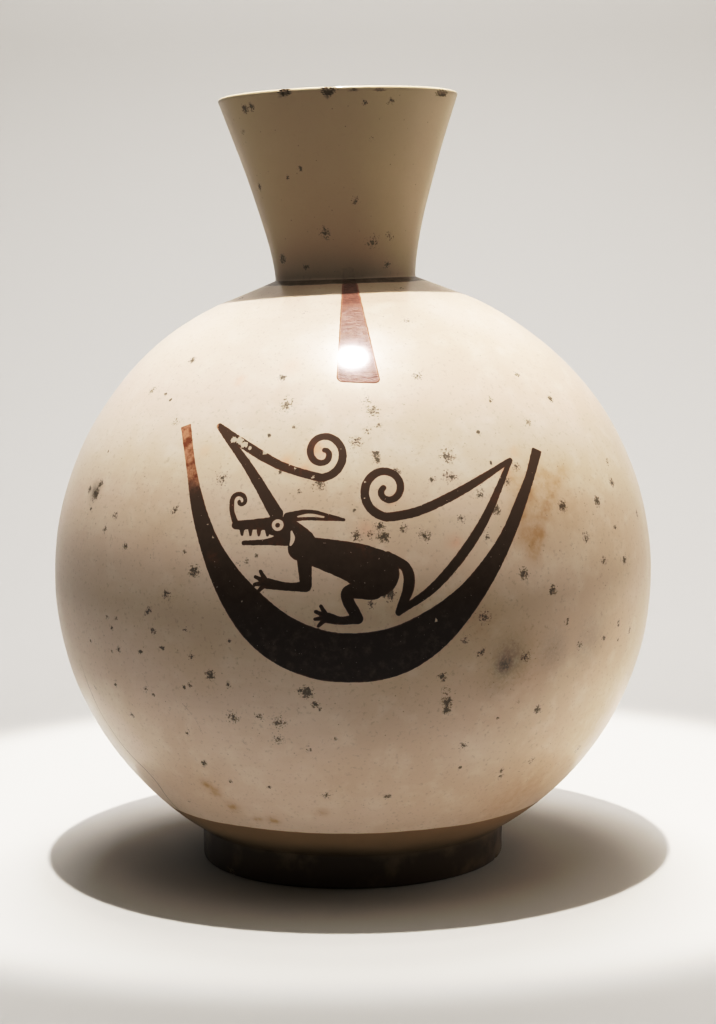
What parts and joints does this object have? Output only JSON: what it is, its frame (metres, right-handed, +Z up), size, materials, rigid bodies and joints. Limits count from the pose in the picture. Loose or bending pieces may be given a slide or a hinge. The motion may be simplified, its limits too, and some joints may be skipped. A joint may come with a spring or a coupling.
{
  "type": "flaring-necked round jar",
  "caption": "Round hollow earthenware jar on a low ring foot, with a narrow flaring neck and a wide open mouth, for pouring or storing liquid.",
  "frame": {"origin": "on the belly's upright axis, in the plane that the ring foot stands on", "axes": "+Z up, towards the mouth; the painted face looks along -Y; +X is to the right of someone facing it"},
  "size_m": [0.2358, 0.2358, 0.3009],
  "materials": {
    "cream_slip": "burnished cream slip with dark brown painting"
  },
  "bodies": {
    "root": {"jar": "cream_slip"}
  },
  "joints": []
}
